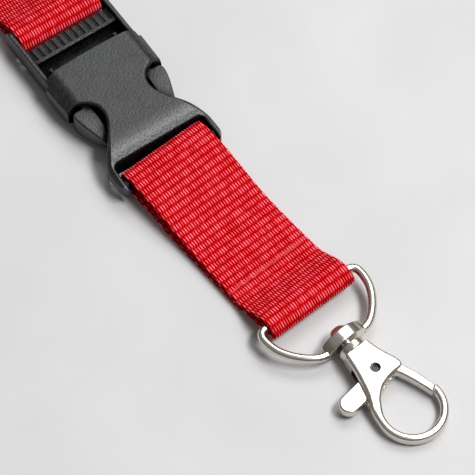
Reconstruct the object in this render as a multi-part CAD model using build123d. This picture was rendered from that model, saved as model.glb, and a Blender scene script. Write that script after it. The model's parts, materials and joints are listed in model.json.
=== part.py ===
from build123d import *
import os
from math import cos, pi, radians, sin

# A neck lanyard of ribbed webbing. A side-release buckle joins the neck loop to a short
# strap, and the short strap carries a swivel hook with a sprung trigger.
#
# Frame: millimetres, +Z up. The lanyard lies on the plane z = 0. The origin is on the flat
# underside of the buckle socket. +Y runs along the buckle towards the neck loop, and the
# hook is on the -Y side. The short strap and the hook are turned by STRAP_YAW about Z,
# because the loose strap rests at a slight angle in its slot.

# ---- webbing ----
WEB_WIDTH = 25.4          # short strap
NECK_WIDTH = 23.6         # neck strap
WEB_THICK = 0.95
PLY_PITCH = 1.08          # from one sewn ply to the next
STRAP_YAW = 5.1           # degrees
THREAD_R = 0.24
THREAD_GAP = 0.03
TABLE_GAP = 0.02          # under the lowest ply

# ---- buckle ----
BUCKLE_THICK = 9.6
MID_Z = BUCKLE_THICK / 2
MOUTH_Y = 17.0            # open end of the socket
MOUTH_WALL_Y = 15.2       # the plug's rails stop against the side walls here
SOCKET_HALF_WIDTH = 14.2  # at the mouth
FRAME_HALF_WIDTH = 15.1   # round the strap slot
TOP_HALF_WIDTH = 9.8      # flat top, before the rounded sides
SLOT_EDGE_Y = -12.8       # body side of the strap slot
SLOT_HALF_WIDTH = 13.2
SOCKET_BAR_Y = -18.0
SOCKET_BAR_R = 1.5
CAVITY_HALF_WIDTH = 12.2
CAVITY_HALF_HEIGHT = 3.2
CAVITY_END_Y = -7.2
WALL_END_Y = 5.8          # end of the side walls, where the latch lugs catch
SOCKET_END_Y = -20.8
WAIST_X = 10.2            # narrowest part, below the windows
WAIST_Y = -6.2
PLAY = 0.2                # between moulded parts that slide

PLUG_BAR_Y = 33.4
PLUG_BAR_R = 1.5
RAIL_IN = 12.1
RAIL_OUT = 13.3
RAIL_HALF_HEIGHT = 2.8
RAIL_END_Y = 35.1
GRIP_BAR_Y = (23.1, 27.6)
GRIP_LOW_Z = 2.6
GRIP_RIDGES = 12
GRIP_GROOVE_R = 0.5
PIVOT_X = 9.0             # where each spring arm bends
PIVOT_Y = 13.6
KNUCKLE_R = 1.0
ARM_HALF_HEIGHT = 2.9
LUG_X = 13.3
CATCH_Y = 5.2
LUG_CORNER_R = 1.2
PAD_ROUNDING = 1.7
PAD_TIP_Y = -7.0
PAD_DROP = 2.2            # from the arm's top face to the top of the pad's tip
SHELF_Y = 12.6            # front of the plug's cross member
FLOOR_THICK = 0.8

# ---- short strap, in its own frame: origin under the socket bar, hook on the -Y side ----
EYE_BAR_FROM_SLOT = 51.9  # socket bar to eye bar
EYE_BAR_Z = 5.0
SEAM_Y = -37.8
SEAM_STITCHES = 18
SEAM_HALF_HEIGHT = 0.6    # of the zigzag, along the strap
EYE_SLACK = 0.3           # between the eye's bar and the webbing folded round it

# ---- swivel hook, in its own frame: origin on the eye bar, hook on the -Y side ----
HOOK_PITCH = 4.1          # degrees, nose down, so the round end rests on the table
WIRE_R = 1.1
EYE_RADIUS = 15.1
EYE_CENTRE_Y = -1.5
EYE_CORNER_R = 2.5
BOSS_TOP = 4.1            # above the wire's middle
BOSS_BOTTOM = 3.2         # below it, flatter so that it clears the table
BOSS_REACH = 6.1          # either side, where it runs out into the wire
BOSS_Y = (-15.6, -12.4)
WIRE_END = (5.2, -14.7)   # inside the boss
COLLAR_R = 3.6
COLLAR_Y = (-18.5, -16.3)
SHANK_R = 1.5
TURN_GAP = 0.06           # between parts that turn on each other
RIVET_HEAD_R = 3.0
RIVET_HEAD_HEIGHT = 1.6
PIN_Y = -25.3
PIN_R = 1.35
PIN_RING_R = 2.3          # shallow raised ring round the pin hole
PIN_RING_HEIGHT = 0.12
PLATE_HALF_Z = 2.9        # hook casting at the plates
GAP_HALF_Z = 1.4          # between the plates, where the trigger turns
TRIGGER_HALF_Z = 1.3
LOOP_X = 0.55
LOOP_Y = -38.2
LOOP_OUTER_R = 8.95
LOOP_INNER_R = 6.85
LOOP_HALF_Z = 1.5
GATE_REACH = 15.0         # from the pin to the end of the gate
SPRING_WIRE_R = 0.2
SPRING_R = 1.62

# ---- neck loop ----
NECK_SEAM_Y = (52.0, 60.0)
NECK_STITCHES = 16
NECK_STACK_Y = 48.0       # the two plies lie together from here
TWIST_START_Y = 64.0      # here the stacked plies start to turn onto their edge
TWIST_END_Y = 104.0
NECK_LENGTH = 250.0       # of the open loop
NECK_HALF_SPREAD = 68.0
SPREAD_PEAK = 0.65        # greatest value of the curve that spreads the loop
TWIST_STATIONS = 14
LOOP_STATIONS = 26


# ---- helpers ----
def plan(curves, z_low, z_high):
    """A closed outline in the XY plane, extruded from z_low to z_high."""
    face = make_face(Wire(curves)).moved(Location((0, 0, z_low)))
    return extrude(face, amount=z_high - z_low, dir=(0, 0, 1))


def eased(start, end, steps):
    """Points on a smooth rise or fall between two (y, z) points, level at both ends."""
    points = []
    for i in range(steps + 1):
        share = i / steps
        lift = (1 - cos(pi * share)) / 2
        points.append((start[0] + (end[0] - start[0]) * share, start[1] + (end[1] - start[1]) * lift))
    return points


def side_profile(curves, half_width):
    """An outline drawn as (y, z) pairs, extruded both ways along X."""
    face = Plane.YZ * make_face(Wire(curves))
    return extrude(face, amount=half_width, both=True)


def cross_profile(curves, y_low, y_high):
    """An outline drawn as (x, z) pairs, extruded from y_low to y_high."""
    face = Plane.XZ * make_face(Wire(curves))
    return extrude(face.moved(Location((0, y_low, 0))), amount=y_high - y_low, dir=(0, 1, 0))


def block(x, y, z):
    """A box from (low, high) pairs."""
    size = [high - low for low, high in (x, y, z)]
    centre = [(high + low) / 2 for low, high in (x, y, z)]
    return Pos(*centre) * Box(*size)


def rod(start, end, radius):
    """A round bar between two points."""
    start = Vector(*start)
    span = Vector(*end) - start
    return extrude(Plane(origin=start, z_dir=span) * Circle(radius), amount=span.length)


def mirrored(curves):
    """The curves of a right half followed by their mirror images."""
    return curves + [curve.mirror(Plane.YZ) for curve in curves]


def softened(solid, edges, radius):
    """Fillets a group of edges, with a smaller radius where the full one does not fit."""
    for share in (1.0, 0.7, 0.45, 0.25):
        try:
            rounded = fillet(edges, radius * share)
        except Exception:
            continue
        if rounded.is_valid and rounded.volume > 0.6 * solid.volume:
            return rounded
    print("left sharp:", len(edges), "edges")
    return solid


def ribbon(points, thickness, half_width, start_dir, end_dir):
    """A strip of even thickness about a smooth (y, z) line, extruded both ways along X."""
    middle = Spline(*points, tangents=[start_dir, end_dir])
    steps = 100
    sides = []
    for side in (1, -1):
        row = []
        for i in range(steps + 1):
            at = middle.position_at(i / steps)
            along = middle.tangent_at(i / steps)
            row.append(at + Vector(-along.Y, along.X, 0) * (side * thickness / 2))
        sides.append(row)
    outline = Polyline(*sides[0], *reversed(sides[1]), close=True)
    return side_profile(outline.edges(), half_width)


def seam(x_half, y_pair, z_low, z_high, stitches, radius):
    """One zigzag row of thread: strands above and below, joined through the webbing."""
    pieces = []
    last = None
    for i in range(stitches + 1):
        x = -x_half + 2 * x_half * i / stitches
        y = y_pair[i % 2]
        pieces.append(rod((x, y, z_low), (x, y, z_high), radius))
        for z in (z_low, z_high):
            pieces.append(Pos(x, y, z) * Sphere(radius))
            if last:
                pieces.append(rod((*last, z), (x, y, z), radius))
        last = (x, y)
    return Part() + pieces


def save(shape, node):
    solids = shape.solids()
    solid = max(solids, key=lambda s: s.volume)
    if len(solids) != 1:
        print(node, "has", len(solids), "solids")
    print(f"{node:20s} {solid.volume:10.2f} mm3  valid {solid.is_valid}")
    export_step(solid, f"parts/{node}.step")


# ---- frames ----
def strap_frame():
    return Location((0, SOCKET_BAR_Y, 0), (0, 0, STRAP_YAW))


def hook_frame():
    return strap_frame() * Location((0, -EYE_BAR_FROM_SLOT, EYE_BAR_Z), (HOOK_PITCH, 0, 0))


# ---- buckle socket ----
def socket_outline():
    """Right half of the plan view, from the middle of the mouth to the middle of the far end."""
    mouth = ThreePointArc((0, MOUTH_Y + 0.4), (6.6, MOUTH_Y + 0.3), (12.4, MOUTH_Y - 0.1))
    corner = Spline((12.4, MOUTH_Y - 0.1), (13.6, MOUTH_Y - 0.7), (SOCKET_HALF_WIDTH, MOUTH_Y - 2.0),
                    tangents=[(1, -0.05), (0, -1)])
    side = Line((SOCKET_HALF_WIDTH, MOUTH_Y - 2.0), (13.9, WALL_END_Y))
    window = Spline((13.9, WALL_END_Y), (12.9, 6.3), (10.6, 5.9), (8.0, 3.9), (7.0, 0.9), (8.0, -2.7),
                    (WAIST_X, WAIST_Y))
    flare = Spline((WAIST_X, WAIST_Y), (11.9, -8.5), (13.9, -11.2), (15.0, -14.0), (FRAME_HALF_WIDTH, -16.6),
                   tangents=[window % 1, (-0.02, -1)])
    end = Spline((FRAME_HALF_WIDTH, -16.6), (14.5, -19.4), (12.6, SOCKET_END_Y),
                 tangents=[(-0.02, -1), (-1, -0.05)])
    return [mouth, corner, side, window, flare, end, Line((12.6, SOCKET_END_Y), (0, SOCKET_END_Y))]


def socket_section():
    """The (x, z) outline: flat top and bottom with rounded sides."""
    edge = FRAME_HALF_WIDTH + 0.05
    top = [Line((0, BUCKLE_THICK), (TOP_HALF_WIDTH, BUCKLE_THICK)),
           Spline((TOP_HALF_WIDTH, BUCKLE_THICK), (12.5, 8.6), (14.2, 6.9), (edge, MID_Z),
                  tangents=[(1, 0), (0, -1)])]
    bottom = [curve.mirror(Plane.XZ).moved(Location((0, BUCKLE_THICK, 0))) for curve in top]
    return mirrored(top + bottom)


def socket_side():
    """The (y, z) outline: full thickness, rounding down to the thinner strap frame."""
    top = [Line((MOUTH_Y + 2, BUCKLE_THICK), (-7.2, BUCKLE_THICK)),
           Spline((-7.2, BUCKLE_THICK), (-9.4, 9.3), (-11.3, 8.55), (-12.9, 7.6), (-15.5, 7.2), (-18.0, 7.0),
                  (-21.2, 6.2), tangents=[(-1, 0), (-1, -0.5)])]
    bottom = [edge.mirror(Plane.XZ).moved(Location((0, BUCKLE_THICK, 0))) for edge in top]
    ends = [Line((-21.2, 6.2), (-21.2, BUCKLE_THICK - 6.2)),
            Line((MOUTH_Y + 2, 0), (MOUTH_Y + 2, BUCKLE_THICK))]
    return top + bottom + ends


def buckle_socket():
    shell = plan(mirrored(socket_outline()), 0, BUCKLE_THICK)
    shell &= cross_profile(socket_section(), -22, 18)
    shell &= side_profile(socket_side(), 16)
    window_rims = shell.edges().filter_by(lambda e: WAIST_Y < e.center().Y < WALL_END_Y + 1
                                          and abs(e.center().X) > 6 and abs(e.center().Z - MID_Z) > 3)
    shell = softened(shell, window_rims, 0.7)
    slot = Rectangle(2 * SLOT_HALF_WIDTH, 12)
    slot = fillet(slot.vertices(), 1.5)
    slot = extrude(slot.moved(Location((0, SLOT_EDGE_Y - 6, 0))), amount=BUCKLE_THICK + 1)
    shell -= slot
    cavity_z = (MID_Z - CAVITY_HALF_HEIGHT, MID_Z + CAVITY_HALF_HEIGHT)
    shell -= block((-CAVITY_HALF_WIDTH, CAVITY_HALF_WIDTH), (CAVITY_END_Y, MOUTH_Y + 2), cavity_z)
    shoulder_z = (MID_Z - RAIL_HALF_HEIGHT - PLAY, MID_Z + RAIL_HALF_HEIGHT + PLAY)
    shell -= block((-16, 16), (MOUTH_WALL_Y, MOUTH_Y + 2), shoulder_z)
    slot_rim = shell.edges().filter_by(lambda e: abs(e.center().Y - SLOT_EDGE_Y) < 0.1
                                       and abs(e.tangent_at(0.5).X) > 0.9)
    shell = softened(shell, slot_rim, 0.6)
    reach = SLOT_HALF_WIDTH + 0.8
    return shell + rod((-reach, SOCKET_BAR_Y, MID_Z), (reach, SOCKET_BAR_Y, MID_Z), SOCKET_BAR_R)


# ---- buckle plug ----
def plug_rail(side):
    rail = block((RAIL_IN, RAIL_OUT), (MOUTH_WALL_Y + PLAY, RAIL_END_Y),
                 (MID_Z - RAIL_HALF_HEIGHT, MID_Z + RAIL_HALF_HEIGHT))
    rail = softened(rail, rail.edges().filter_by(Axis.X).group_by(Axis.Y)[-1], 1.9)
    rail = softened(rail, rail.edges().filter_by(Axis.Y), 0.35)
    return rail if side > 0 else rail.mirror(Plane.YZ)


def grip_bar():
    """The ridged cross bar that the thumb pushes against."""
    front, back = GRIP_BAR_Y
    outline = Polyline((front + 1.5, GRIP_LOW_Z), (back, GRIP_LOW_Z), (back, 6.1), (front + 0.5, 6.6),
                       (front, 6.2), (front, 5.7), close=True)
    bar = side_profile(outline.edges(), RAIL_IN + 0.3)
    pitch = 2 * RAIL_IN / GRIP_RIDGES
    for i in range(GRIP_RIDGES):
        x = -RAIL_IN + pitch * (i + 0.5)
        bar -= rod((x, front + 0.8, 6.72), (x, back + 1, 6.2), GRIP_GROOVE_R)
    return bar


def buckle_plug():
    shelf_z = (MID_Z - 2.6, MID_Z + 2.6)
    inner = CAVITY_HALF_WIDTH - PLAY
    front = GRIP_BAR_Y[0]
    plug = plug_rail(1) + plug_rail(-1) + grip_bar()
    plug += block((-RAIL_OUT + 0.3, RAIL_OUT - 0.3), (MOUTH_WALL_Y + PLAY, MOUTH_Y - 0.2), shelf_z)
    plug += block((-inner, inner), (SHELF_Y, MOUTH_Y - 0.2), shelf_z)
    floor_z = MID_Z - RAIL_HALF_HEIGHT + 0.1
    floor = (floor_z, floor_z + FLOOR_THICK)
    plug += block((-RAIL_IN - 0.3, RAIL_IN + 0.3), (MOUTH_Y - 0.5, front + 1.8), floor)
    plug += rod((-RAIL_IN - 0.5, PLUG_BAR_Y, MID_Z), (RAIL_IN + 0.5, PLUG_BAR_Y, MID_Z), PLUG_BAR_R)
    blade = block((-1.3, 1.3), (CAVITY_END_Y + 2.2, SHELF_Y + 1), (MID_Z - 2.8, MID_Z + 2.8))
    plug += softened(blade, blade.edges().filter_by(Axis.Z).group_by(Axis.Y)[0], 1.1)
    for side in (1, -1):
        rib = sorted((side * 9.1, side * 9.9))
        plug += block(rib, (MOUTH_Y - 1, MOUTH_Y + 3.4), (MID_Z - 2.2, MID_Z + 1.0))
        socket = Pos(side * PIVOT_X, PIVOT_Y, MID_Z) * Cylinder(KNUCKLE_R + TURN_GAP, 12)
        mouth = block(sorted((side * 7.9, side * 10.1)), (SHELF_Y - 1, PIVOT_Y - 0.3), (-1, 11))
        plug -= socket + mouth
    return plug


def pad_side():
    """The (y, z) outline of a spring arm: even in height, then falling away towards the pad's tip."""
    z_high = MID_Z + ARM_HALF_HEIGHT
    tip_z = z_high - PAD_DROP
    root_y = PIVOT_Y + 2
    top = [Line((root_y, z_high), (3.0, z_high)),
           Spline((3.0, z_high), (-1.5, z_high - 0.5), (PAD_TIP_Y, tip_z), tangents=[(-1, 0), (-1, -0.5)])]
    bottom = [curve.mirror(Plane.XZ).moved(Location((0, BUCKLE_THICK, 0))) for curve in top]
    ends = [Line((PAD_TIP_Y, tip_z), (PAD_TIP_Y, BUCKLE_THICK - tip_z)),
            Line((root_y, z_high), (root_y, BUCKLE_THICK - z_high))]
    return top + bottom + ends


def spring_arm(side):
    """Latch arm: a thin beam, a catch that hooks behind the side wall, and a domed thumb pad."""
    z_low, z_high = MID_Z - ARM_HALF_HEIGHT, MID_Z + ARM_HALF_HEIGHT
    outer = Spline((LUG_X, CATCH_Y - LUG_CORNER_R), (13.1, 2.2), (12.6, 0.2), (11.8, -2.2), (11.0, -4.4),
                   (10.4, -6.0), tangents=[(0, -1), (-0.4, -1)])
    tip = ThreePointArc((10.4, -6.0), (9.9, -6.5), (9.4, -6.0))
    inner = Spline((9.4, -6.0), (8.8, -3.6), (8.35, -0.8), (8.35, 1.8), (8.45, 5.2), (8.5, 8.0),
                   tangents=[(-0.3, 1), (0, 1)])
    beam_in = Line((8.5, 8.0), (8.5, PIVOT_Y))
    root = Line((8.5, PIVOT_Y), (9.5, PIVOT_Y))
    beam_out = Line((9.5, PIVOT_Y), (9.6, 8.2))
    shoulder = Spline((9.6, 8.2), (9.9, 6.6), (11.0, CATCH_Y), tangents=[(0, -1), (1, 0)])
    catch = Line((11.0, CATCH_Y), (LUG_X - LUG_CORNER_R, CATCH_Y))
    sagitta = LUG_CORNER_R * (1 - cos(pi / 4))
    corner = ThreePointArc((LUG_X - LUG_CORNER_R, CATCH_Y), (LUG_X - sagitta, CATCH_Y - sagitta),
                           (LUG_X, CATCH_Y - LUG_CORNER_R))
    arm = plan([outer, tip, inner, beam_in, root, beam_out, shoulder, catch, corner], z_low, z_high)
    arm &= side_profile(pad_side(), 16)
    crown = arm.edges().filter_by(lambda e: abs(e.center().Z - MID_Z) > 1 and e.center().X > 11
                                  and e.center().Y < CATCH_Y - 0.1)
    arm = softened(arm, crown, PAD_ROUNDING)
    arm += Pos(PIVOT_X, PIVOT_Y, MID_Z) * Cylinder(KNUCKLE_R, 2 * ARM_HALF_HEIGHT - 0.6)
    return arm if side > 0 else arm.mirror(Plane.YZ)


# ---- short strap ----
def short_strap_band():
    """One length of webbing: under the socket bar and back over it to the eye, ends sewn between."""
    eye = -EYE_BAR_FROM_SLOT
    fold_r = WIRE_R + EYE_SLACK + WEB_THICK / 2
    slope = fold_r * cos(pi / 4)
    low = WEB_THICK / 2 + TABLE_GAP
    middle = low + PLY_PITCH
    top = middle + PLY_PITCH
    points = eased((SEAM_Y - 4, low), (-23, low), 5)
    points += eased((-20, low), (-1.5, 2.1), 6)
    points += [(1.4, 2.5), (3.1, 3.4), (3.6, MID_Z), (3.1, 6.1), (1.6, 6.9)]
    points += eased((-0.6, 7.1), (-27, top + 0.25), 8)
    points += eased((SEAM_Y + 5, top + 0.05), (SEAM_Y - 1, top), 2)
    points += eased((SEAM_Y - 3, top), (eye, EYE_BAR_Z + fold_r), 5)
    points += [(eye - slope, EYE_BAR_Z + slope), (eye - fold_r, EYE_BAR_Z), (eye - slope, EYE_BAR_Z - slope)]
    points += eased((eye, EYE_BAR_Z - fold_r), (SEAM_Y - 3, middle), 5)
    points += eased((SEAM_Y - 1, middle), (SEAM_Y + 4, middle), 2)
    return ribbon(points, WEB_THICK, WEB_WIDTH / 2, (1, 0), (1, 0))


def zigzag(y, half_width, plies, stitches):
    """The thread of one seam through sewn plies, and the channel that clears it."""
    row = (y - SEAM_HALF_HEIGHT, y + SEAM_HALF_HEIGHT)
    z_low = THREAD_R + 0.05
    z_high = TABLE_GAP + (plies - 1) * PLY_PITCH + WEB_THICK - 0.4 * THREAD_R
    thread = seam(half_width, row, z_low, z_high, stitches, THREAD_R)
    channel = seam(half_width, row, z_low, z_high, stitches, THREAD_R + THREAD_GAP)
    return thread, channel


def short_strap():
    thread, channel = zigzag(SEAM_Y, WEB_WIDTH / 2 - 0.9, 3, SEAM_STITCHES)
    band = short_strap_band() - channel
    return band.moved(strap_frame()), thread.moved(strap_frame())


# ---- neck strap ----
def neck_stack_band():
    """The sewn end of the neck strap: round the plug bar, then two plies lying together."""
    low = WEB_THICK / 2 + TABLE_GAP
    upper = low + PLY_PITCH
    points = eased((TWIST_START_Y, low), (NECK_STACK_Y + 2, low), 5)
    points += eased((NECK_STACK_Y, low), (32.9, 2.3), 5)
    points += [(31.0, 2.6), (29.7, 3.5), (29.25, MID_Z), (29.7, 6.1), (31.0, 7.0)]
    points += eased((32.9, 7.25), (NECK_STACK_Y, upper + 0.03), 6)
    points += eased((NECK_STACK_Y + 2, upper), (TWIST_START_Y, upper), 5)
    return ribbon(points, WEB_THICK, NECK_WIDTH / 2, (-1, 0), (1, 0))


def neck_section(centre, along, angle):
    """A cross-section of the webbing; angle 0 lies flat and 90 degrees stands on its edge."""
    level = along.cross(Vector(0, 0, 1)).normalized()
    across = level * cos(angle) + Vector(0, 0, 1) * sin(angle)
    return Plane(origin=centre, x_dir=across, z_dir=along) * Rectangle(NECK_WIDTH, WEB_THICK)


def neck_side(side):
    """Sections from the stacked plies, through the twist and round half of the open loop."""
    half = NECK_WIDTH / 2
    flat_z = WEB_THICK / 2 + TABLE_GAP + PLY_PITCH * (1 + side) / 2
    sections = [neck_section(Vector(0, TWIST_START_Y - back, flat_z), Vector(0, 1, 0), 0) for back in (0, -2)]
    for i in range(1, TWIST_STATIONS):
        share = i / TWIST_STATIONS
        turn = (1 - cos(pi * share)) / 2 * pi / 2
        off = side * PLY_PITCH / 2
        rise = half * sin(turn) + (WEB_THICK + PLY_PITCH) / 2 * cos(turn) + TABLE_GAP
        y = TWIST_START_Y + 2 + (TWIST_END_Y - TWIST_START_Y - 2) * share
        centre = Vector(-sin(turn) * off, y, rise + cos(turn) * off)
        sections.append(neck_section(centre, Vector(0, 1, 0), turn))
    for i in range(LOOP_STATIONS + 1):
        angle = pi * i / LOOP_STATIONS
        spread = NECK_HALF_SPREAD / SPREAD_PEAK
        out = PLY_PITCH / 4 * (1 + cos(angle)) + spread * sin(angle) * sin(angle / 2) ** 2
        y = TWIST_END_Y + NECK_LENGTH * (1 - cos(angle)) / 2
        slope_y = NECK_LENGTH * sin(angle) / 2
        slope_x = spread * (cos(angle) * sin(angle / 2) ** 2 + sin(angle) ** 2 / 2)
        along = Vector(0, 1, 0) if i == 0 else Vector(-side * slope_x, slope_y, 0).normalized()
        sections.append(neck_section(Vector(-side * out, y, half + TABLE_GAP), along, pi / 2))
    return sections


def neck_strap():
    band = neck_stack_band() + loft(neck_side(1)) + loft(neck_side(-1))
    threads = []
    for y in NECK_SEAM_Y:
        thread, channel = zigzag(y, NECK_WIDTH / 2 - 1.5, 2, NECK_STITCHES)
        threads.append(thread)
        band -= channel
    return band, threads


# ---- swivel hook ----
def eye_path():
    """Right half of the D in plan: the bar, a rounded ear, and the arc down to the boss."""
    steep = radians(-32)
    halfway = (EYE_RADIUS * cos(steep), EYE_CENTRE_Y + EYE_RADIUS * sin(steep))
    ear = EYE_RADIUS - EYE_CORNER_R
    return [Line((0, 0), (ear, 0)),
            Spline((ear, 0), (EYE_RADIUS - 0.55, -0.75), (EYE_RADIUS, -2.4), tangents=[(1, 0), (0, -1)]),
            Spline((EYE_RADIUS, -2.4), halfway, (8.0, -14.0), WIRE_END, tangents=[(0, -1), (-1, -0.1)])]


def boss_outline():
    """The (x, z) outline of the boss: an arch over the rivet, flatter underneath."""
    lines = []
    for rise in (BOSS_TOP, -BOSS_BOTTOM):
        flank = Spline((BOSS_REACH, 0), (0.88 * BOSS_REACH, 0.36 * rise), (0.62 * BOSS_REACH, 0.72 * rise),
                       (0.3 * BOSS_REACH, 0.96 * rise), (0, rise), tangents=[(0, rise), (-1, 0)])
        lines.append(flank)
    return mirrored(lines)


def d_eye():
    bar, ear, arc = eye_path()
    wire = Plane.YZ * Circle(WIRE_R)
    half = sweep(wire.faces()[0], path=Wire([bar, ear, arc]))
    eye = half + half.mirror(Plane.YZ)
    low, high = BOSS_Y
    boss = cross_profile(boss_outline(), low, high)
    eye += softened(boss, boss.edges(), 0.45)
    return eye - rod((0, low - 1, 0), (0, high + 1, 0), SHANK_R + TURN_GAP)


def swivel_rivet():
    """The shank that the hook turns on, with its domed head inside the eye."""
    base = BOSS_Y[1] + 0.1
    dome = Pos(0, base - 1.2, 0) * Sphere(RIVET_HEAD_R + 0.25)
    head = rod((0, base, 0), (0, base + RIVET_HEAD_HEIGHT, 0), RIVET_HEAD_R) & dome
    return head + rod((0, COLLAR_Y[0] - 1.5, 0), (0, base + 0.3, 0), SHANK_R)


def loop_point(radius, degrees):
    """A point on a circle about the middle of the hook's round end."""
    angle = radians(degrees)
    return LOOP_X + radius * cos(angle), LOOP_Y + radius * sin(angle)


def hook_outline():
    """The casting in plan: plates, left arm and the round end, as one closed line."""
    arm_out = loop_point(LOOP_OUTER_R, 172)
    arm_in = loop_point(LOOP_INNER_R, 172)
    tip_out = loop_point(LOOP_OUTER_R, 14)
    tip_in = loop_point(LOOP_INNER_R, 14)
    top = COLLAR_Y[0] + 0.1
    right_plate = [Line((-3.6, top), (3.6, top)),
                   Spline((3.6, top), (4.9, -23.4), (6.15, -27.3), tangents=[(0.2, -1), (0.15, -1)]),
                   Spline((6.15, -27.3), (5.8, -28.4), (4.5, -28.8), tangents=[(0.05, -1), (-1, 0)])]
    inside = [Spline((4.5, -28.8), (0.6, -29.3), (-3.2, -31.4), (-5.4, -34.6), arm_in,
                     tangents=[(-1, 0), (-0.14, -0.99)]),
              ThreePointArc(arm_in, loop_point(LOOP_INNER_R, 270), tip_in)]
    outside = [ThreePointArc(tip_out, loop_point(LOOP_OUTER_R, 270), arm_out),
               Spline(arm_out, (-7.6, -33.0), (-6.2, -29.4), (-5.2, -26.2), (-3.6, top),
                      tangents=[(0.14, 0.99), (0.15, 1)])]
    return right_plate + inside + [Line(tip_in, tip_out)] + outside


def hook_side():
    """The (y, z) outline of the casting: thick plates, tapering to the wire of the round end."""
    top = [Line((-18, PLATE_HALF_Z), (-29.7, PLATE_HALF_Z)),
           Spline((-29.7, PLATE_HALF_Z), (-32.0, 2.2), (-34.9, LOOP_HALF_Z), tangents=[(-1, 0), (-1, 0)]),
           Line((-34.9, LOOP_HALF_Z), (-48, LOOP_HALF_Z))]
    bottom = [edge.mirror(Plane.XZ) for edge in top]
    ends = [Line((-18, -PLATE_HALF_Z), (-18, PLATE_HALF_Z)), Line((-48, -LOOP_HALF_Z), (-48, LOOP_HALF_Z))]
    return top + bottom + ends


def hook_body():
    body = plan(hook_outline(), -4, 4) & side_profile(hook_side(), 12)
    rims = body.edges().filter_by(lambda e: abs(e.center().Z) > 1.2 and abs(e.tangent_at(0.5).Z) < 0.6
                                  and e.center().Y < -22)
    body = softened(body, rims, 0.9)
    body -= Pos(0, PIN_Y, 0) * Cylinder(GATE_REACH, 12) & block((4, 12), (-42, -29.2), (-6, 6))
    gap = block((-12, 12), (-30.3, -21.6), (-GAP_HALF_Z, GAP_HALF_Z))
    gap += block((-12, -1), (-31.7, -29), (-GAP_HALF_Z, GAP_HALF_Z))
    body -= gap
    collar = rod((0, COLLAR_Y[0], 0), (0, COLLAR_Y[1], 0), COLLAR_R)
    body += softened(collar, collar.edges(), 0.5)
    body -= rod((0, COLLAR_Y[0] - 1.5, 0), (0, COLLAR_Y[1] + 1, 0), SHANK_R)
    body += Pos(0, PIN_Y, 0) * Cylinder(PIN_RING_R, 2 * (PLATE_HALF_Z + PIN_RING_HEIGHT)) - gap
    return body - Pos(0, PIN_Y, 0) * Cylinder(PIN_R, 12)


def trigger():
    """Thumb lever and gate in one plate, turning on the pin between the hook's plates."""
    curves = [Line((2.6, -23.9), (4.8, -26.2)),
              Spline((4.8, -26.2), (6.0, -27.6), (6.9, -29.6), (9.5, -39.6), tangents=[(1, -1), (0.2, -1)]),
              Line((9.5, -39.6), (7.4, -39.9)),
              Spline((7.4, -39.9), (4.7, -30.6), (3.4, -28.4), (1.2, -27.9), tangents=[(-0.2, 1), (-1, 0.1)]),
              Spline((1.2, -27.9), (-3.0, -29.0), (-6.2, -30.1), (-10.3, -30.6),
                     tangents=[(-1, -0.2), (-1, -0.12)]),
              ThreePointArc((-10.3, -30.6), (-12.9, -28.2), (-10.6, -25.7)),
              Line((-10.6, -25.7), (-4.2, -24.8)),
              Spline((-4.2, -24.8), (-2.4, -24.1), (0, -22.8), (2.6, -23.9),
                     tangents=[(1, 0.15), (0.75, -1)])]
    plate = plan(curves, -TRIGGER_HALF_Z, TRIGGER_HALF_Z)
    plate &= Pos(0, PIN_Y, 0) * Cylinder(GATE_REACH - PLAY, 12) + block((-20, 4), (-42, -20), (-3, 3))
    rims = plate.edges().filter_by(lambda e: abs(e.center().Z) > 1.2
                                   and (e.center().X < -5 or e.center().Y < -30))
    plate = softened(plate, rims, 0.5)
    plate -= Pos(0, PIN_Y, 0) * Cylinder(PIN_R + TURN_GAP, 6)
    return plate - Pos(0, PIN_Y, 0.6) * Cylinder(SPRING_R + SPRING_WIRE_R + 0.15, 1.6)


def trigger_pin():
    return Pos(0, PIN_Y, 0) * Cylinder(PIN_R, 2 * PLATE_HALF_Z - 1.8)


def trigger_spring():
    """A small torsion spring round the pin, in a pocket of the trigger."""
    coil = Pos(0, PIN_Y, 0.12) * Helix(pitch=0.46, height=0.92, radius=SPRING_R)
    start = coil @ 0
    section = Plane(origin=start, z_dir=coil % 0) * Circle(SPRING_WIRE_R)
    return sweep(section.faces()[0], path=coil, is_frenet=True)


def main():
    os.makedirs("parts", exist_ok=True)
    save(buckle_socket(), "buckle_socket")
    save(buckle_plug(), "buckle_plug_frame")
    save(spring_arm(1), "right_spring_arm")
    save(spring_arm(-1), "left_spring_arm")
    strap, stitches = short_strap()
    save(strap, "short_strap")
    save(stitches, "strap_seam")
    neck, threads = neck_strap()
    save(neck, "neck_strap")
    save(threads[0], "neck_seam_near")
    save(threads[1], "neck_seam_far")
    frame = hook_frame()
    save(d_eye().moved(frame), "d_eye")
    save(swivel_rivet().moved(frame), "swivel_rivet")
    save(hook_body().moved(frame), "hook_body")
    save(trigger().moved(frame), "trigger")
    save(trigger_pin().moved(frame), "trigger_pin")
    save(trigger_spring().moved(frame), "trigger_spring")


main()
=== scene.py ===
import json
import math

import bpy
import numpy as np
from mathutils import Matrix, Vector


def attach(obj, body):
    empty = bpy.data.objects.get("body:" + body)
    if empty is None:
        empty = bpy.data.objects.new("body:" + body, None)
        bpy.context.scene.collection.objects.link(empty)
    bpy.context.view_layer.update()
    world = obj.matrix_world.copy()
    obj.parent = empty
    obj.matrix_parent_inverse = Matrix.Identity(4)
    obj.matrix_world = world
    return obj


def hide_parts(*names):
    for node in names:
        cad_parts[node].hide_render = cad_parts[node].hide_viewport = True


# The looks of a webbing lanyard: woven straps, sewn thread, grained plastic and nickel
# plate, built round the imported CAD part. Metres, +Z up, the CAD part's own frame.

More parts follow.
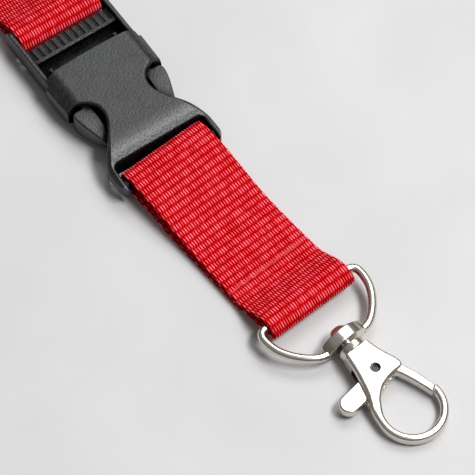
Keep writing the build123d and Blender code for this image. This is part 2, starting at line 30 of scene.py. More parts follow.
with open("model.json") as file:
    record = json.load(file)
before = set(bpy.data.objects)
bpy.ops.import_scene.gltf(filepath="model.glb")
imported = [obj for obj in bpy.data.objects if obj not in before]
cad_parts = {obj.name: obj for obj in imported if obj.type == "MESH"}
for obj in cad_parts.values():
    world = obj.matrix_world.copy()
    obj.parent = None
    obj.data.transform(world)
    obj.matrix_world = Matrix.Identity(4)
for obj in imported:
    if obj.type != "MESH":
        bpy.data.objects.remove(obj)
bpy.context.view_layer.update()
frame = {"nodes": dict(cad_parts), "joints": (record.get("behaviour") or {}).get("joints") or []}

MM = 0.001

# ---- weave ----
WEB_THICK = 0.95 * MM
PLY_PITCH = 1.08 * MM         # from one ply to the next where they lie together
TABLE_GAP = 0.02 * MM         # under the lowest ply
RIB_PITCH = 0.985 * MM        # half of a bold row and its faint neighbour, along the strap
YARN_PITCH = 0.72 * MM        # one float to the next, across the strap
RIB_HEIGHT = 0.05 * MM
FLOAT_HEIGHT = 0.20 * MM
FAINT_ROW = 0.70              # height of a faint row's floats over a bold row's
BOLD_ROW = 0.86               # a bold row's share of two rows' length
ROW_SHIFT = 0.57              # from one bold row to the next, in float pitches
FAINT_SHIFT = 0.5             # from a bold row to the faint row after it
FLOAT_LEAN = 0.09             # sideways lean of a float, in float pitches
CROWN_POWER = 0.22            # shape of a float along its length: less is squarer
RIDGE_POWER = 1.6             # and across it: more is sharper
EDGE_FADE = 0.8 * MM          # nearer than this to an edge the floats get lower,
EDGE_FLOATS = 0.35            # down to this share of their height
EDGE_ANGLES = (60, 30, 0, -30, -60)    # of the points round an edge, in degrees
EDGE_RADIUS = 0.90            # an edge's mean radius over half the thickness
EDGE_RIPPLE = 0.16            # and how much of it comes and goes with each rib
ROW_STEP = RIB_PITCH / 4      # mesh spacing along the strap,
FLOAT_STEP = YARN_PITCH / 4   # across its outer face
INNER_STEP = 1.4 * MM         # and across its inner face
SPLINE_STEPS = 24             # places worked out between two given points of a line

# ---- short strap ----
SHORT_WIDTH = 25.4 * MM
SLOT_NARROWING = 0.4 * MM     # how far each edge is pulled in at the buckle's slot
SHORT_WAIST = 0.25 * MM       # and how much more, halfway along
EYE_WIRE_R = 1.1 * MM
EYE_SLACK = 0.5 * MM          # between the eye's wire and the fold
FOLD_BULGE = 0.9 * MM         # how much further the fold stands off the eye in front
SEAM_FROM_EYE = 14.1 * MM
SEAM_TAIL = 4 * MM            # webbing left past the seam
SEAM_APPROACH = 5 * MM        # the top ply is almost down this far before the seam,
SEAM_LEVEL = 1 * MM           # lies level to this far past it
SEAM_RISE = 3 * MM            # and from here rises to the eye
SEAM_MARGIN = 1.5 * MM        # from a seam's end to the strap's edge
TOP_SLACK = (0.25 * MM, 0.05 * MM)   # how loose the top ply is on its way to the seam
LOWER_LEVEL_END = -23 * MM    # the lower run lies on the table to here, from the socket's bar,
LOWER_RAMP_START = -20 * MM   # and climbs to the bar from here
UPPER_RAMP_END = -27 * MM     # the upper run is down to here

# ---- neck strap ----
NECK_WIDTH = 23.6 * MM
NECK_STACK_Y = 48 * MM        # the two plies lie together from here
NECK_STACK_EASE = 2 * MM
NECK_TOP_SLACK = 0.03 * MM
TWIST_START_Y = 66 * MM       # here they start to turn onto their edge
TWIST_END_Y = 104 * MM
NECK_LENGTH = 250 * MM        # of the open loop
NECK_HALF_SPREAD = 68 * MM
SPREAD_PEAK = 0.65            # the spread curve's highest value before it is scaled
TWIST_STATIONS = 14
LOOP_STATIONS = 26
LOOP_ROW_STEP = RIB_PITCH / 2
LOOP_FLOAT_STEP = 1.0 * MM
NECK_SEAM_Y = {"near": 52 * MM, "far": 60 * MM}

# The webbing's middle line round each bar, as (along the strap, height) from the bar's centre, in mm.
SOCKET_WRAP = ((-1.5, -2.7), (1.4, -2.3), (3.1, -1.4), (3.6, 0), (3.1, 1.3), (1.6, 2.1), (-0.6, 2.3))
PLUG_WRAP = ((-0.5, 2.45), (-2.4, 2.2), (-3.7, 1.3), (-4.15, 0), (-3.7, -1.3), (-2.4, -2.2), (-0.5, -2.5))

# ---- sewing thread ----
THREAD_R = 0.15 * MM
THREAD_LOBE = (0.92, 0.16)    # a two-ply thread's mean radius and its lobes, over THREAD_R
THREAD_TWIST = 2.2            # turn of the lobes, in radians per thread radius along the stitch
THREAD_SIDES = 8
THREAD_STEPS = 22
STITCH_PITCH = 3.4 * MM
STITCH_OVERLAP = 1.5          # a stitch's length over the pitch
STITCH_SLANT = 0.9 * MM       # from one end of a stitch to the other, along the strap
STITCH_SINK = 2.6             # depth of a stitch's ends below the webbing, in thread radii
STITCH_CROWN = 0.6            # height of its middle above it
STRAND_FAN = (-0.30 * MM, 0.28 * MM)   # a stitch's two strands bow this far to either side

# ---- colours, linear ----
# The webbing ramp's top stop is a painted pink highlight on the float crowns and its lowest stop painted
# shade in the dips; the middle stops are the dye.
WEBBING_DYE_AND_PAINTED_LIGHT = ((0.10, (0.13, 0.0, 0.0)), (0.38, (0.38, 0.0, 0.0)),
                  (0.64, (0.52, 0.003, 0.003)), (0.92, (0.84, 0.18, 0.25)))
THREAD_SHADES = ((0.0, (0.34, 0.0, 0.0)), (1.0, (0.62, 0.03, 0.04)))
PLASTIC_SHADES = ((0.38, (0.001, 0.001, 0.001)), (0.62, (0.017, 0.0195, 0.021)))
TABLE_SHADES = ((0.3, (0.45, 0.45, 0.455)), (0.7, (0.49, 0.49, 0.49)))
NICKEL_COLOUR = (0.70, 0.66, 0.60)
PAINTED_SHADE_DEPTH = 7 * MM         # plastic faces this deep inside a gap get painted shade and lose their shine

# ---- camera, table and light ----
VIEW_AZIMUTH = -34.8
VIEW_ELEVATION = 58.7
VIEW_DISTANCE = 1.1
VIEW_WIDTH = 0.116            # how much of the table the picture's width covers
AIM_FROM_EYE = 26.3 * MM      # the picture's middle, measured back up the short strap
AIM_ACROSS = 0.4 * MM
SENSOR_WIDTH = 36.0           # camera sensor and lens are in millimetres
TABLE_HALF = 3.0
TABLE_DROP = 0.05 * MM

WORLD_STRENGTH = 0.45
WORLD_SHADES = ((0.0, (0.16, 0.10, 0.06)), (0.35, (0.34, 0.28, 0.22)), (0.75, (0.6, 0.61, 0.62)))
LIGHTS = (                    # name, (right, towards the camera, up) from the aim, size, watts
    ("key", (0.62, 0.10, 1.05), (0.7, 0.5), 2.5),
    ("glint", (0.50, 0.16, 1.05), (0.44, 0.22), 12.5),
    ("sheet", (0.30, -0.65, 1.15), (0.95, 0.6), 9.8),
)

# ---- places read from the frame ----
joints = {joint["name"]: joint for joint in frame["joints"]}
SOCKET_BAR = Vector(joints["short_strap_pivot"]["pos_m"])
PLUG_BAR = Vector(joints["neck_strap_pivot"]["pos_m"])
EYE_BAR = Vector(joints["eye_pivot"]["pos_m"])
UP = Vector((0, 0, 1))
STRAP_ACROSS = Vector(joints["eye_pivot"]["axis"])
STRAP_ALONG = UP.cross(STRAP_ACROSS)
STRAP_LENGTH = (SOCKET_BAR - EYE_BAR).xy.length


# ---- lines and meshes ----
def mesh_object(name, points, faces, uv=None, smooth=True):
    """A mesh from arrays of points and faces, with an optional UV per point."""
    mesh = bpy.data.meshes.new(name)
    mesh.from_pydata([tuple(p) for p in points], [], [tuple(f) for f in faces])
    if uv is not None:
        layer = mesh.uv_layers.new(name="weave")
        corners = np.zeros(len(mesh.loops), dtype=np.int32)
        mesh.loops.foreach_get("vertex_index", corners)
        layer.data.foreach_set("uv", np.asarray(uv, dtype=np.float32)[corners].ravel())
    mesh.polygons.foreach_set("use_smooth", [smooth] * len(mesh.polygons))
    mesh.update()
    obj = bpy.data.objects.new(name, mesh)
    bpy.context.scene.collection.objects.link(obj)
    return obj


def eased(start, end, steps):
    """Points on a smooth rise or fall between two (along, height) points, level at both ends."""
    shares = [i / steps for i in range(steps + 1)]
    (y, z), (run, rise) = start, (end[0] - start[0], end[1] - start[1])
    return [(y + run * t, z + rise * (1 - math.cos(math.pi * t)) / 2) for t in shares]


def wrap(bar_along, bar_height, points):
    """Points given in mm from a bar's centre, as (along, height) in metres."""
    return [(bar_along + along * MM, bar_height + height * MM) for along, height in points]


def even_line(points, step):
    """A smooth line through the points, resampled to equal steps, with the lengths along it.

    The first columns are the place, up to three; any more columns are carried along with it."""
    points = np.array(points)
    padded = np.vstack([2 * points[0] - points[1], points, 2 * points[-1] - points[-2]])
    fine = []
    for i in range(1, len(padded) - 2):
        p0, p1, p2, p3 = padded[i - 1:i + 3]
        for t in np.linspace(0, 1, SPLINE_STEPS, endpoint=False):
            fine.append(0.5 * (2 * p1 + (p2 - p0) * t + (2 * p0 - 5 * p1 + 4 * p2 - p3) * t ** 2
                               + (3 * p1 - p0 - 3 * p2 + p3) * t ** 3))
    fine.append(points[-1])
    fine = np.array(fine)
    length = np.concatenate([[0], np.cumsum(np.linalg.norm(np.diff(fine[:, :3], axis=0), axis=1))])
    along = np.linspace(0, length[-1], int(round(length[-1] / step)) + 1)
    return np.column_stack([np.interp(along, length, fine[:, k]) for k in range(fine.shape[1])]), along


def unit_rows(rows):
    return rows / np.linalg.norm(rows, axis=1, keepdims=True)


# ---- woven straps ----
def float_height(along, across):
    """Height of the weave: bold rows of long floats, out of step with each other, and faint rows between."""
    pair = along / (2 * RIB_PITCH)
    in_pair = pair - np.floor(pair)
    bold = in_pair < BOLD_ROW
    in_row = np.where(bold, in_pair / BOLD_ROW, (in_pair - BOLD_ROW) / (1 - BOLD_ROW)) - 0.5
    shift = ROW_SHIFT * np.floor(pair) + np.where(bold, 0, FAINT_SHIFT) + FLOAT_LEAN * in_row
    in_float = (across / YARN_PITCH + shift) % 1.0 - 0.5
    crown = np.maximum(np.cos(np.pi * in_row), 0) ** CROWN_POWER
    ridge = np.maximum(np.cos(np.pi * in_float), 0) ** RIDGE_POWER
    return RIB_HEIGHT * crown + FLOAT_HEIGHT * np.where(bold, 1.0, FAINT_ROW) * crown * ridge


def strap_sections(along, half_width, outer_step):
    """Each section's points: places across the strap, and heights off its middle, one row per section."""
    rim = WEB_THICK / 2
    base = rim - (RIB_HEIGHT + FLOAT_HEIGHT) / 2
    widest = float(np.max(half_width))
    outer_share = np.linspace(-1, 1, int(round(2 * (widest - rim) / outer_step)) + 1)
    inner_share = np.linspace(1, -1, int(round(2 * (widest - rim) / INNER_STEP)) + 1)
    spread = (half_width - rim)[:, None]
    along = along[:, None]
    outer = spread * outer_share
    fade = np.clip((1 - np.abs(outer_share)) * widest / EDGE_FADE, EDGE_FLOATS, 1)
    outer_z = base + float_height(along, outer) * fade
    inner = spread * inner_share
    rib = np.cos(np.pi * (along / RIB_PITCH % 1.0 - 0.5))
    inner_z = -base - RIB_HEIGHT * rib * np.ones_like(inner)
    turn = np.radians(EDGE_ANGLES)
    bead = rim * (EDGE_RADIUS + EDGE_RIPPLE * np.cos(2 * np.pi * along / RIB_PITCH))
    edge = spread + bead * np.cos(turn)
    edge_z = bead * np.sin(turn)
    x = np.concatenate([outer, edge, inner, -edge[:, ::-1]], axis=1)
    z = np.concatenate([outer_z, edge_z, inner_z, edge_z[:, ::-1]], axis=1)
    return x, z


def tube_faces(rows, ring):
    """Faces of a tube of rings, closed by a fan at each end to the two points that follow the rings."""
    start = np.arange(rows - 1)[:, None] * ring
    here = np.arange(ring)[None, :]
    after = (here + 1) % ring
    quads = np.stack([start + here, start + after, start + ring + after, start + ring + here], axis=2)
    last, middle = (rows - 1) * ring, rows * ring
    first_fan = [[(i + 1) % ring, i, middle] for i in range(ring)]
    last_fan = [[last + i, last + (i + 1) % ring, middle + 1] for i in range(ring)]
    return quads.reshape(-1, 4).tolist() + first_fan + last_fan


def strap(name, centre, across, outward, along, half_width, material, outer_step):
    """Webbing as one closed mesh: a woven outer face, rounded edges and a ribbed inner face."""
    x, z = strap_sections(along, half_width, outer_step)
    points = centre[:, None, :] + x[:, :, None] * across[:, None, :] + z[:, :, None] * outward[:, None, :]
    uv = np.stack([x, np.broadcast_to(along[:, None], x.shape)], axis=2) / MM
    end_points = [points[0].mean(axis=0), points[-1].mean(axis=0)]
    end_uv = [uv[0].mean(axis=0), uv[-1].mean(axis=0)]
    obj = mesh_object(name, np.vstack([points.reshape(-1, 3), end_points]), tube_faces(*x.shape),
                      np.vstack([uv.reshape(-1, 2), end_uv]))
    obj.data.materials.append(material)
    return obj


def planar_strap(name, points, origin, across, forward, half_width_at, material):
    """A strap whose centre line stays in one upright plane. Points are (along forward, height)."""
    line, along = even_line(points, ROW_STEP)
    tangent = unit_rows(np.gradient(line, axis=0))
    forward, up = np.array(forward), np.array(UP)
    centre = np.array(origin)[None, :] + line[:, :1] * forward + line[:, 1:] * up
    outward = tangent[:, 1:] * forward - tangent[:, :1] * up
    side = np.repeat(np.array(across)[None, :], len(line), axis=0)
    return strap(name, centre, side, outward, along, half_width_at(line), material, FLOAT_STEP)


# ---- sewing ----
def strand_points(centre, along, forward, up):
    """Points round a two-ply thread whose centre line is given, one ring per place on it."""
    phase = np.linspace(0, 2 * np.pi, THREAD_SIDES, endpoint=False)
    lobes = 2 * phase[None, :] - THREAD_TWIST * (along / THREAD_R)[:, None]
    radius = THREAD_R * (THREAD_LOBE[0] + THREAD_LOBE[1] * np.cos(lobes))
    ring = centre[:, None, :] + (radius * np.cos(phase))[:, :, None] * forward \
        + (radius * np.sin(phase))[:, :, None] * up
    return ring.reshape(-1, 3)


def strand_faces(start):
    """Faces of one strand whose first point has this number, closed at both ends."""
    faces = []
    for row in range(THREAD_STEPS - 1):
        ring = start + row * THREAD_SIDES
        for side in range(THREAD_SIDES):
            a, b = ring + side, ring + (side + 1) % THREAD_SIDES
            faces.append((a, b, b + THREAD_SIDES, a + THREAD_SIDES))
    last = start + (THREAD_STEPS - 1) * THREAD_SIDES
    faces.append(tuple(start + side for side in reversed(range(THREAD_SIDES))))
    faces.append(tuple(last + side for side in range(THREAD_SIDES)))
    return faces


def stitch_row(name, origin, across, forward, strap_width, faces_z, node, body):
    """A row of slanted, overlapping stitches on both faces of sewn webbing."""
    half_width = strap_width / 2 - SEAM_MARGIN
    count = int(round(2 * half_width / STITCH_PITCH))
    pitch = 2 * half_width / count
    length = pitch * STITCH_OVERLAP
    share = np.linspace(0, 1, THREAD_STEPS)
    arch = np.sin(np.pi * share)
    sink = THREAD_R * (STITCH_SINK - (STITCH_SINK + STITCH_CROWN) * arch ** 0.5)
    origin, across, forward, up = (np.array(v) for v in (origin, across, forward, UP))
    points, faces = [], []
    for z, way in zip(faces_z, (1, -1)):
        for i, bow in ((i, bow) for i in range(count) for bow in STRAND_FAN):
            run = -half_width + pitch * (i + 0.5) + bow + (share - 0.5) * length
            sideways = (share - 0.5) * STITCH_SLANT * way + bow * arch
            centre = origin + run[:, None] * across + sideways[:, None] * forward
            centre = centre + (z - way * sink)[:, None] * up
            faces.extend(strand_faces(len(points)))
            points.extend(strand_points(centre, share * length, forward, up))
    piece = mesh_object(name, points, faces)
    piece.data.materials.append(THREAD)
    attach(piece, body)
    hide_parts(node)


# ---- materials ----
class Shader:
    """A material's node tree, with short calls for the nodes this script uses."""

    def __init__(self, name):
        self.material = bpy.data.materials.new(name)
        self.material.use_nodes = True
        self.tree = self.material.node_tree
        self.surface = self.tree.nodes["Principled BSDF"]

    def node(self, kind, **values):
        made = self.tree.nodes.new(kind)
        for key, value in values.items():
            if hasattr(made, key):
                setattr(made, key, value)
            else:
                made.inputs[key.replace("_", " ")].default_value = value
        return made

    def link(self, source, target):
        self.tree.links.new(source, target)

    def set(self, **values):
        for key, value in values.items():
            self.surface.inputs[key.replace("_", " ")].default_value = value

    def feed(self, **sources):
        """Link sources to the surface's inputs by name."""
        for key, source in sources.items():
            self.link(source, self.surface.inputs[key.replace("_", " ")])

    def combine(self, x, y):
        made = self.node("ShaderNodeCombineXYZ")
        self.link(x, made.inputs[0])
        self.link(y, made.inputs[1])
        return made.outputs[0]

    def noise(self, size, detail=3.0, roughness=0.5):
        """Noise whose features are about this many metres across, fixed to the object."""
        place = self.node("ShaderNodeTexCoord")
        made = self.node("ShaderNodeTexNoise", Scale=1.0 / size, Detail=detail, Roughness=roughness)
        self.link(place.outputs["Object"], made.inputs["Vector"])
        return made.outputs["Fac"]

    def ramp(self, source, shades):
        made = self.node("ShaderNodeValToRGB")
        ramp = made.color_ramp
        while len(ramp.elements) < len(shades):
            ramp.elements.new(0.5)
        for element, (place, colour) in zip(ramp.elements, shades):
            element.position = place
            element.color = (*colour, 1)
        self.link(source, made.inputs["Fac"])
        return made.outputs["Color"]

    def spread(self, source, low, high):
        made = self.node("ShaderNodeMapRange", To_Min=low, To_Max=high)
        self.link(source, made.inputs["Value"])
        return made.outputs["Result"]

    def bump(self, source, depth, after=None):
        made = self.node("ShaderNodeBump", Strength=1.0, Distance=depth)
        self.link(source, made.inputs["Height"])
        if after:
            self.link(after, made.inputs["Normal"])
        return made.outputs["Normal"]

    def maths(self, operation, *values):
        made = self.node("ShaderNodeMath", operation=operation)
        for slot, value in zip(made.inputs, values):
            if isinstance(value, (int, float)):
                slot.default_value = value
            else:
                self.link(value, slot)
        return made.outputs[0]


def weave_nodes(maths, across, along):
    """The weave of float_height as nodes: its height from 0 to 1, and numbers for each float and row."""
    pairs = maths("DIVIDE", along, 2 * RIB_PITCH / MM)
    in_pair = maths("FRACT", pairs)
    faint = maths("GREATER_THAN", in_pair, BOLD_ROW)
    bold = maths("SUBTRACT", 1.0, faint)
    bold_place = maths("MULTIPLY", maths("DIVIDE", in_pair, BOLD_ROW), bold)
    faint_place = maths("DIVIDE", maths("SUBTRACT", in_pair, BOLD_ROW), 1 - BOLD_ROW)
    faint_place = maths("MULTIPLY", faint_place, faint)
    in_row = maths("SUBTRACT", maths("ADD", bold_place, faint_place), 0.5)
    shift = maths("ADD", maths("MULTIPLY", faint, FAINT_SHIFT), maths("MULTIPLY", in_row, FLOAT_LEAN))
    shift = maths("ADD", shift, maths("MULTIPLY", maths("FLOOR", pairs), ROW_SHIFT))
    floats = maths("ADD", maths("DIVIDE", across, YARN_PITCH / MM), shift)
    in_float = maths("SUBTRACT", maths("FRACT", floats), 0.5)
    crown = maths("MAXIMUM", maths("COSINE", maths("MULTIPLY", in_row, math.pi)), 0.0)
    ridge = maths("MAXIMUM", maths("COSINE", maths("MULTIPLY", in_float, math.pi)), 0.0)
    height = maths("MULTIPLY", maths("POWER", crown, CROWN_POWER), maths("POWER", ridge, RIDGE_POWER))
    row_height = maths("SUBTRACT", 1.0, maths("MULTIPLY", faint, 1 - FAINT_ROW))
    row_number = maths("ADD", maths("MULTIPLY", maths("FLOOR", pairs), 2.0), faint)
    return maths("MULTIPLY", height, row_height), maths("FLOOR", floats), row_number


def webbing_material(name, floats_as_bump):
    """Dyed polyester, with a painted highlight on the yarn crowns and painted shade where yarns dive under,
    each float its own shade.

    On a mesh too coarse to hold the floats, they are bump."""
    shader = Shader(name)
    maths = shader.maths
    uv = shader.node("ShaderNodeUVMap")
    split = shader.node("ShaderNodeSeparateXYZ")
    shader.link(uv.outputs["UV"], split.inputs[0])
    across, along = split.outputs["X"], split.outputs["Y"]
    height, float_number, row_number = weave_nodes(maths, across, along)
    number = shader.node("ShaderNodeTexWhiteNoise", noise_dimensions="2D")
    shader.link(shader.combine(float_number, row_number), number.inputs["Vector"])
    strands = shader.node("ShaderNodeTexNoise", Scale=1.0, Detail=2.0)
    stretched = shader.combine(maths("MULTIPLY", across, 16.0), maths("MULTIPLY", along, 2.2))
    shader.link(stretched, strands.inputs["Vector"])
    # The float height drives the ramp: a painted highlight on the crowns and painted shade where yarns dive
    # under.
    shade = maths("ADD", height, maths("MULTIPLY", number.outputs["Value"], 0.22))
    shade = maths("ADD", shade, maths("MULTIPLY", strands.outputs["Fac"], 0.25))
    shade = maths("DIVIDE", shade, 1.4)
    fibres = shader.bump(strands.outputs["Fac"], 0.025 * MM)
    if floats_as_bump:
        fibres = shader.bump(height, FLOAT_HEIGHT, fibres)
    shader.set(Roughness=0.6, Specular_IOR_Level=0.01)
    shader.feed(Base_Color=shader.ramp(shade, WEBBING_DYE_AND_PAINTED_LIGHT), Normal=fibres)
    return shader.material


def thread_material():
    """Sewing thread, a little lighter than the webbing's hollows, banded by its twist."""
    shader = Shader("sewing_thread")
    place = shader.node("ShaderNodeTexCoord")
    twist = shader.node("ShaderNodeTexWave", Scale=900.0, Distortion=2.0, Detail=1.0)
    shader.link(place.outputs["Object"], twist.inputs["Vector"])
    twist = twist.outputs["Fac"]
    shader.set(Roughness=0.45, Sheen_Weight=0.3)
    shader.feed(Base_Color=shader.ramp(twist, THREAD_SHADES), Normal=shader.bump(twist, 0.05 * MM))
    return shader.material


def plastic_material(name, tone, gloss):
    """Charcoal moulded plastic with a fine spark-eroded grain and lighter patches, with painted shade and
    less shine inside gaps.
    """
    shader = Shader(name)
    grain = shader.noise(0.55 * MM, detail=3.0, roughness=0.6)
    patches = shader.noise(6 * MM, detail=3.0)
    maths = shader.maths
    shade = maths("ADD", maths("MULTIPLY", grain, 0.75), maths("MULTIPLY", patches, 0.25))
    shades = [(place, tuple(tone * c for c in colour)) for place, colour in PLASTIC_SHADES]
    # Ambient occlusion darkens the base colour deep in gaps as painted shade, and takes away the shine
    # there.
    painted_recess_shade = shader.node("ShaderNodeAmbientOcclusion", samples=6, Distance=PAINTED_SHADE_DEPTH)
    shader.link(shader.ramp(shade, shades), painted_recess_shade.inputs["Color"])
    shine = shader.node("ShaderNodeMapRange", From_Min=0.62, From_Max=0.92, To_Min=0.0, To_Max=0.55)
    shader.link(painted_recess_shade.outputs["AO"], shine.inputs["Value"])
    coarse = shader.bump(patches, 0.03 * MM)
    shader.feed(Base_Color=painted_recess_shade.outputs["Color"], Roughness=shader.spread(grain, gloss, gloss + 0.25),
                Specular_IOR_Level=shine.outputs["Result"], Normal=shader.bump(grain, 0.12 * MM, coarse))
    return shader.material


def plated_material(name, colour, roughness):
    """Bright plating over a casting: slightly uneven, with a faint haze."""
    shader = Shader(name)
    haze = shader.noise(2.4 * MM, detail=4.0)
    ripple = shader.noise(3.5 * MM, detail=2.0)
    tint = shader.ramp(haze, ((0.3, colour), (0.8, tuple(0.93 * c for c in colour))))
    shader.set(Metallic=1.0)
    shader.feed(Base_Color=tint, Roughness=shader.spread(haze, roughness * 0.75, roughness * 1.35),
                Normal=shader.bump(ripple, 0.02 * MM))
    return shader.material


def dull_metal_material(name, shade):
    """Unplated steel, mottled with small dark spots."""
    shader = Shader(name)
    spots = shader.noise(0.5 * MM, detail=4.0)
    tint = shader.ramp(spots, ((0.3, (shade * 0.6,) * 3), (0.7, (shade, shade * 0.98, shade * 0.94))))
    shader.set(Metallic=1.0)
    shader.feed(Base_Color=tint, Roughness=shader.spread(spots, 0.3, 0.5),
                Normal=shader.bump(spots, 0.02 * MM))
    return shader.material


def table_material():
    """A plain pale table top with barely any texture."""
    shader = Shader("table_top")
    shader.set(Roughness=0.7)
    shader.feed(Base_Color=shader.ramp(shader.noise(40 * MM, detail=4.0), TABLE_SHADES))
    return shader.material


WEBBING = webbing_material("red_webbing", floats_as_bump=False)
LOOP_WEBBING = webbing_material("red_webbing_loop", floats_as_bump=True)
THREAD = thread_material()
NICKEL = plated_material("nickel_plate", NICKEL_COLOUR, 0.24)
PLASTIC = plastic_material("charcoal_plastic", 1.0, 0.26)
# The arms' copy of the plastic is painted 10% lighter, a painted highlight on their domed pads.
ARM_PLASTIC_PAINTED_LIGHTER = plastic_material("charcoal_plastic_arms", 1.1, 0.20)


# ---- straps ----
def short_strap():
    """One length of webbing, from its hidden tail under the seam, round the socket bar and round the eye.

    Its line is (along, height), from the socket's bar; the eye is on the minus side."""
    low = WEB_THICK / 2 + TABLE_GAP
    middle = low + PLY_PITCH
    top = middle + PLY_PITCH
    eye, eye_z = -STRAP_LENGTH, EYE_BAR.z
    seam = eye + SEAM_FROM_EYE
    fold_r = EYE_WIRE_R + EYE_SLACK + WEB_THICK / 2
    slope = math.sqrt(0.5) * fold_r
    bar = wrap(0, SOCKET_BAR.z, SOCKET_WRAP)

    line = eased((seam - SEAM_TAIL, low), (LOWER_LEVEL_END, low), 5)
    line += eased((LOWER_RAMP_START, low), bar[0], 6) + bar[1:-1]
    line += eased(bar[-1], (UPPER_RAMP_END, top + TOP_SLACK[0]), 8)
    line += eased((seam + SEAM_APPROACH, top + TOP_SLACK[1]), (seam - SEAM_LEVEL, top), 2)
    line += eased((seam - SEAM_RISE, top), (eye, eye_z + fold_r), 5)
    line += [(eye - slope - FOLD_BULGE / 2, eye_z + slope), (eye - fold_r - FOLD_BULGE, eye_z),
             (eye - slope - FOLD_BULGE, eye_z - slope)]
    line += eased((eye, eye_z - fold_r), (seam - SEAM_RISE, middle), 5)
    line += eased((seam - SEAM_LEVEL, middle), (seam + SEAM_TAIL, middle), 2)

    def half_width(places):
        """Narrower at the buckle's slot, and the upper plies a little narrower halfway."""
        share = np.clip(-places[:, 0] / STRAP_LENGTH, 0, 1)
        upper = np.clip((places[:, 1] - (low + middle) / 2) / PLY_PITCH, 0, 1)
        waist = SHORT_WAIST * upper * np.sin(np.pi * share) ** 2
        return SHORT_WIDTH / 2 - SLOT_NARROWING * (1 - share) - waist

    origin = Vector((SOCKET_BAR.x, SOCKET_BAR.y, 0))
    piece = planar_strap("short_strap_webbing", line, origin, STRAP_ACROSS, STRAP_ALONG, half_width, WEBBING)
    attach(piece, "short_strap")
    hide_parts("short_strap")
    stitch_row("short_strap_stitches", origin + STRAP_ALONG * seam, STRAP_ACROSS, STRAP_ALONG, SHORT_WIDTH,
               (top + WEB_THICK / 2, low - WEB_THICK / 2), "strap_seam", "short_strap")


def neck_fold():
    """The sewn end of the neck strap: two plies lying together, and the fold round the plug's bar."""
    low = WEB_THICK / 2 + TABLE_GAP
    upper = low + PLY_PITCH
    stack = NECK_STACK_Y + NECK_STACK_EASE
    bar = wrap(PLUG_BAR.y, PLUG_BAR.z, PLUG_WRAP)
    line = eased((TWIST_START_Y, upper), (stack, upper), 5)
    line += eased((NECK_STACK_Y, upper + NECK_TOP_SLACK), bar[0], 6) + bar[1:-1]
    line += eased(bar[-1], (NECK_STACK_Y, low), 5)
    line += eased((stack, low), (TWIST_START_Y, low), 5)
    piece = planar_strap("neck_strap_fold", line, (0, 0, 0), (1, 0, 0), (0, 1, 0),
                         lambda places: np.full(len(places), NECK_WIDTH / 2), WEBBING)
    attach(piece, "neck_loop")
    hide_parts("neck_strap")
    for label, y in NECK_SEAM_Y.items():
        stitch_row("neck_stitches_" + label, (0, y, 0), (1, 0, 0), (0, 1, 0), NECK_WIDTH,
                   (upper + WEB_THICK / 2, low - WEB_THICK / 2), "neck_seam_" + label, "neck_loop")


def neck_half(side):
    """Places and across directions from the stacked plies, through the twist, to the loop's far end."""
    half = NECK_WIDTH / 2
    flat_z = WEB_THICK / 2 + TABLE_GAP + PLY_PITCH * (1 + side) / 2
    off = side * PLY_PITCH / 2
    rows = [(0, TWIST_START_Y, flat_z, 1, 0, 0)]
    for i in range(1, TWIST_STATIONS):
        share = i / TWIST_STATIONS
        turn = (1 - math.cos(math.pi * share)) / 2 * math.pi / 2
        level, upright = math.cos(turn), math.sin(turn)
        rise = half * upright + (WEB_THICK + PLY_PITCH) / 2 * level + TABLE_GAP
        y = TWIST_START_Y + (TWIST_END_Y - TWIST_START_Y) * share
        rows.append((-upright * off, y, rise + level * off, level, 0, upright))
    for i in range(LOOP_STATIONS + 1):
        angle = math.pi * i / LOOP_STATIONS
        out = PLY_PITCH / 2 * (1 + math.cos(angle)) / 2
        out += NECK_HALF_SPREAD * math.sin(angle) * math.sin(angle / 2) ** 2 / SPREAD_PEAK
        y = TWIST_END_Y + NECK_LENGTH * (1 - math.cos(angle)) / 2
        rows.append((-side * out, y, half + TABLE_GAP, 0, 0, 1))
    return rows


def neck_open_loop():
    """The open loop, standing on its edge: from the lower ply, round the far end, to the upper ply."""
    rows = neck_half(-1) + neck_half(1)[-2::-1]
    line, along = even_line(rows, LOOP_ROW_STEP)
    centre, across = line[:, :3], unit_rows(line[:, 3:])
    outward = unit_rows(np.cross(unit_rows(np.gradient(centre, axis=0)), across))
    piece = strap("neck_strap_loop", centre, across, outward, along, np.full(len(along), NECK_WIDTH / 2),
                  LOOP_WEBBING, LOOP_FLOAT_STEP)
    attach(piece, "neck_loop")


# ---- finishes of the CAD nodes that stay in sight ----
def finish_nodes():
    finishes = {
        "buckle_socket": PLASTIC,
        "buckle_plug_frame": PLASTIC,
        "left_spring_arm": ARM_PLASTIC_PAINTED_LIGHTER,
        "right_spring_arm": ARM_PLASTIC_PAINTED_LIGHTER,
        "d_eye": NICKEL,
        "hook_body": NICKEL,
        "trigger": NICKEL,
        "swivel_rivet": NICKEL,
        # The pin's steel is painted near black as painted shade on the pin sunk into the hook.
        "trigger_pin": dull_metal_material("pin_steel", 0.06),
        "trigger_spring": dull_metal_material("spring_steel", 0.55),
    }
    for node, material in finishes.items():
        slots = frame["nodes"][node].data.materials
        slots.clear()
        slots.append(material)


# ---- stage ----
def build_table():
    size = TABLE_HALF
    corners = [(-size, -size, 0), (size, -size, 0), (size, size, 0), (-size, size, 0)]
    table = mesh_object("table", corners, [(0, 1, 2, 3)], smooth=False)
    table.location.z = -TABLE_DROP
    table.data.materials.append(table_material())


def view_direction():
    azimuth, elevation = math.radians(VIEW_AZIMUTH), math.radians(VIEW_ELEVATION)
    level = math.cos(elevation)
    return Vector((-math.sin(azimuth) * level, math.cos(azimuth) * level, -math.sin(elevation)))


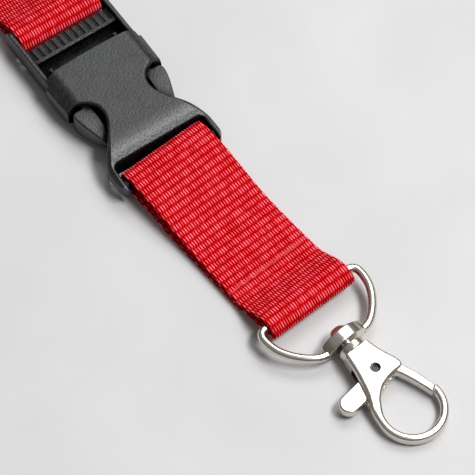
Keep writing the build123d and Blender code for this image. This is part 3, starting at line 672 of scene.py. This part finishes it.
def build_camera(aim):
    data = bpy.data.cameras.new("camera")
    data.sensor_width = SENSOR_WIDTH
    data.lens = SENSOR_WIDTH * VIEW_DISTANCE / VIEW_WIDTH
    data.clip_start = 0.01
    camera = bpy.data.objects.new("camera", data)
    ahead = view_direction()
    camera.location = aim - ahead * VIEW_DISTANCE
    camera.rotation_mode = "QUATERNION"
    camera.rotation_quaternion = ahead.to_track_quat("-Z", "Y")
    bpy.context.scene.collection.objects.link(camera)
    bpy.context.scene.camera = camera


def build_world():
    """A dim studio: warm and dark below, lighter overhead."""
    world = bpy.data.worlds.new("studio")
    world.use_nodes = True
    tree = world.node_tree
    place = tree.nodes.new("ShaderNodeTexCoord")
    split = tree.nodes.new("ShaderNodeSeparateXYZ")
    shade = tree.nodes.new("ShaderNodeValToRGB")
    tree.links.new(place.outputs["Generated"], split.inputs[0])
    tree.links.new(split.outputs["Z"], shade.inputs["Fac"])
    tree.links.new(shade.outputs["Color"], tree.nodes["Background"].inputs["Color"])
    shade.color_ramp.elements.new(0.5)
    for element, (height, colour) in zip(shade.color_ramp.elements, WORLD_SHADES):
        element.position = height
        element.color = (*colour, 1)
    tree.nodes["Background"].inputs["Strength"].default_value = WORLD_STRENGTH
    bpy.context.scene.world = world


def build_lights(aim):
    """A weak wide key and a bright glint high on the right, and a sheet where level metal mirrors it."""
    right = view_direction().cross(UP).normalized()
    front = right.cross(UP)
    for name, (across, forward, height), size, power in LIGHTS:
        data = bpy.data.lights.new(name, "AREA")
        data.shape = "RECTANGLE"
        data.size, data.size_y = size
        data.energy = power
        light = bpy.data.objects.new(name, data)
        light.location = aim + right * across + front * forward + UP * height
        light.rotation_euler = (aim - light.location).to_track_quat("-Z", "Y").to_euler()
        bpy.context.scene.collection.objects.link(light)


short_strap()
neck_fold()
neck_open_loop()
finish_nodes()

bpy.context.scene.view_settings.view_transform = "Standard"
aim_point = EYE_BAR + STRAP_ALONG * AIM_FROM_EYE + STRAP_ACROSS * AIM_ACROSS
aim_point.z = 0
build_table()
build_camera(aim_point)
build_world()
build_lights(aim_point)
